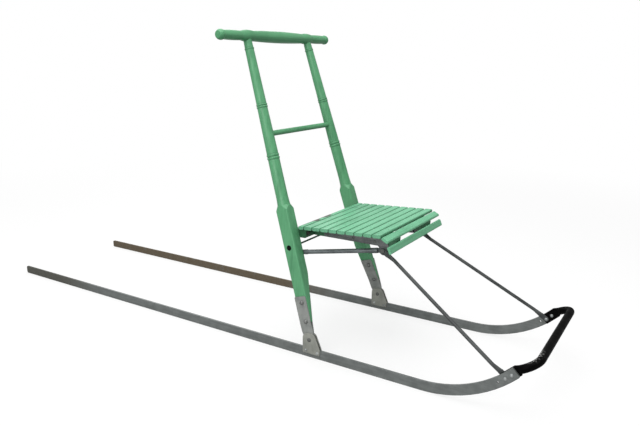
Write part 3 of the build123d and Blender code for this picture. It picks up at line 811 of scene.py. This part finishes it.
class SLED_OT_rail_bolts(Operator):
    """Dark round-headed bolts on the front of the cross rail"""
    bl_idname = "sled.rail_bolts"
    bl_label = "Rail Bolts"

    def execute(self, context):
        width, steps = sizes().bolt_width, sizes().round_steps
        front_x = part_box("seat_cross_rail")[1][0]
        heads = []
        for _, side in SIDES:
            washer = round_head(width * WASHER_SHARE, WASHER_HEIGHT, steps, crown=0.3)
            head = round_head(width, BOLT_HEIGHT, steps, crown=0.8)
            for shape, x in ((washer, front_x), (head, front_x + WASHER_RIM)):
                heads.append((shape, facing((x, side * RAIL_BOLT_Y, RAIL_BOLT_Z), (1, 0, 0))))
        join_heads("cross_rail_bolts", heads, "bolt_black")
        return {"FINISHED"}


class SLED_OT_tie_caps(Operator):
    """Black caps over the tie rod's nuts, on the posts' outer faces"""
    bl_idname = "sled.tie_caps"
    bl_label = "Tie Rod Caps"

    def execute(self, context):
        width, steps = sizes().cap_width, sizes().round_steps
        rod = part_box("tie_rod")
        middle_x = (rod[0][0] + rod[1][0]) / 2
        middle_z = (rod[0][2] + rod[1][2]) / 2
        ahead = ahead_on_post(middle_x - TAIL_X, middle_z)
        for side_name, side in SIDES:
            place = on_post(side, ahead, POST_HALF_WIDTH, middle_z)
            normal = post_turn(side) @ Vector((0, 1, 0))
            heads = [(round_head(width, CAP_HEIGHT, steps, crown=0.7), facing(place, normal))]
            join_heads("tie_cap_" + side_name, heads, "black_cap")
        return {"FINISHED"}


class SLED_OT_slat_nails(Operator):
    """Small nails that hold the slats on the cleats"""
    bl_idname = "sled.slat_nails"
    bl_label = "Slat Nails"

    def execute(self, context):
        width = sizes().nail_width
        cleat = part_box("seat_cleat_left")
        line_y = (cleat[0][1] + cleat[1][1]) / 2
        slope = radians(SEAT_SLOPE)
        heads = []
        for number in range(1, FLAT_SLATS + 1):
            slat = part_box(f"slat_{number:02d}")
            middle_x = (slat[0][0] + slat[1][0]) / 2
            top_z = (slat[0][2] + slat[1][2]) / 2 + SLAT_THICKNESS / 2 / cos(slope)
            for _, side in SIDES:
                place = facing((middle_x, side * line_y, top_z - NAIL_SINK), (-sin(slope), 0, cos(slope)))
                heads.append((round_head(width, NAIL_HEIGHT, NAIL_STEPS, crown=0.6), place))
        join_heads("slat_nails", heads, "slat_paint")
        return {"FINISHED"}


class SLED_OT_studio(Operator):
    """Pale floor, soft lamps and the camera"""
    bl_idname = "sled.studio"
    bl_label = "Studio"

    def execute(self, context):
        scene = context.scene
        studio = scene.sled_studio
        scene.view_settings.view_transform = "Standard"
        self.lay_floor(scene, studio)
        self.set_sky(scene, studio)
        # Lamps: name, place, point that they aim at, width and power
        for lamp in (
            ("top_lamp", (0.3, -0.4, 3.0), (0.0, 0.0, 0.2), 3.4, studio.key_power),
            ("side_lamp", (0.7, -3.1, 1.5), (0.1, 0.0, 0.3), 2.4, studio.side_power),
            ("rear_lamp", (-2.6, 2.4, 2.2), (0.0, 0.0, 0.3), 2.4, studio.rear_power),
        ):
            self.hang_lamp(scene, *lamp)
        self.set_camera(scene, studio)
        return {"FINISHED"}

    def lay_floor(self, scene, studio):
        shape = bmesh.new()
        bmesh.ops.create_grid(shape, x_segments=1, y_segments=1, size=40.0)
        mesh = bpy.data.meshes.new("studio_floor")
        shape.to_mesh(mesh)
        shape.free()
        floor = bpy.data.objects.new("studio_floor", mesh)
        scene.collection.objects.link(floor)
        material = bpy.data.materials.new("studio_floor")
        material.use_nodes = True
        tree = material.node_tree
        tree.nodes.remove(tree.nodes["Principled BSDF"])
        path = put(tree, "ShaderNodeLightPath")
        bounce, pale = tuple(studio.bounce_colour), tuple(studio.floor_colour)
        tint = blend_colours(tree, path.outputs["Is Camera Ray"], bounce, pale)
        matte = put(tree, "ShaderNodeBsdfDiffuse", None, {"Color": tint})
        white = put(tree, "ShaderNodeEmission", None, {"Color": (1, 1, 1, 1), "Strength": 1.0})
        place = put(tree, "ShaderNodeTexCoord").outputs["Object"]
        away = steps_between(tree, "LENGTH", place)["Value"]
        cover = spread(tree, away, 1.1, 3.6, 0.72, 1.0)
        seen = sums(tree, "MULTIPLY", path.outputs["Is Camera Ray"], cover)
        mixed = put(tree, "ShaderNodeMixShader", None, {0: seen, 1: matte.outputs[0], 2: white.outputs[0]})
        tree.links.new(mixed.outputs[0], tree.nodes["Material Output"].inputs["Surface"])
        mesh.materials.append(material)

    def set_sky(self, scene, studio):
        world = bpy.data.worlds.new("studio_sky")
        scene.world = world
        world.use_nodes = True
        tree = world.node_tree
        tree.nodes.clear()
        path = put(tree, "ShaderNodeLightPath")
        seen = sums(tree, "ADD", path.outputs["Is Camera Ray"], path.outputs["Is Transmission Ray"])
        strength = spread(tree, seen, 0.0, 1.0, studio.sky_strength, 1.0)
        sky = put(tree, "ShaderNodeBackground", None, {"Color": (1, 1, 1, 1), "Strength": strength})
        leave = put(tree, "ShaderNodeOutputWorld")
        tree.links.new(sky.outputs[0], leave.inputs["Surface"])

    def hang_lamp(self, scene, name, place, aim, size, power):
        light = bpy.data.lights.new(name, "AREA")
        light.shape = "DISK"
        light.size = size
        light.energy = power
        lamp = bpy.data.objects.new(name, light)
        lamp.location = place
        lamp.rotation_euler = (Vector(aim) - Vector(place)).to_track_quat("-Z", "Y").to_euler()
        scene.collection.objects.link(lamp)

    def set_camera(self, scene, studio):
        forward = Vector(CAMERA_FORWARD).normalized()
        right = Vector(CAMERA_RIGHT)
        right = (right - forward * right.dot(forward)).normalized()
        up = right.cross(forward)
        view = bpy.data.cameras.new("photo_camera")
        view.sensor_width = 36.0
        view.sensor_fit = "HORIZONTAL"
        view.lens = studio.focal_length
        view.clip_end = 200.0
        camera = bpy.data.objects.new("photo_camera", view)
        turn = Matrix((right, up, -forward)).transposed().to_4x4()
        camera.matrix_world = Matrix.Translation(studio.camera_place) @ turn
        scene.collection.objects.link(camera)
        scene.camera = camera


STEPS = (
    SLED_OT_finishes,
    SLED_OT_bracket_rivets,
    SLED_OT_strap_rivets,
    SLED_OT_tip_rivets,
    SLED_OT_strip_screws,
    SLED_OT_rail_bolts,
    SLED_OT_tie_caps,
    SLED_OT_slat_nails,
    SLED_OT_studio,
)


class SLED_PT_panel(Panel):
    """The sled's finishes, fasteners and studio"""
    bl_idname = "SLED_PT_panel"
    bl_label = "Kick Sled"
    bl_space_type = "VIEW_3D"
    bl_region_type = "UI"
    bl_category = "Kick Sled"

    def draw(self, context):
        for group in (context.scene.sled_paint, context.scene.sled_sizes, context.scene.sled_studio):
            box = self.layout.box()
            for name in group.__annotations__:
                box.prop(group, name)
        for step in STEPS:
            self.layout.operator(step.bl_idname)


CLASSES = (SledPaint, SledSizes, SledStudio, *STEPS, SLED_PT_panel)


def register():
    for item in CLASSES:
        bpy.utils.register_class(item)
    bpy.types.Scene.sled_paint = PointerProperty(type=SledPaint)
    bpy.types.Scene.sled_sizes = PointerProperty(type=SledSizes)
    bpy.types.Scene.sled_studio = PointerProperty(type=SledStudio)


def unregister():
    del bpy.types.Scene.sled_studio
    del bpy.types.Scene.sled_sizes
    del bpy.types.Scene.sled_paint
    for item in reversed(CLASSES):
        bpy.utils.unregister_class(item)


def main():
    register()
    bpy.ops.sled.finishes()
    bpy.ops.sled.bracket_rivets()
    bpy.ops.sled.strap_rivets()
    bpy.ops.sled.tip_rivets()
    bpy.ops.sled.strip_screws()
    bpy.ops.sled.rail_bolts()
    bpy.ops.sled.tie_caps()
    bpy.ops.sled.slat_nails()
    bpy.ops.sled.studio()


if __name__ == "__main__":
    main()
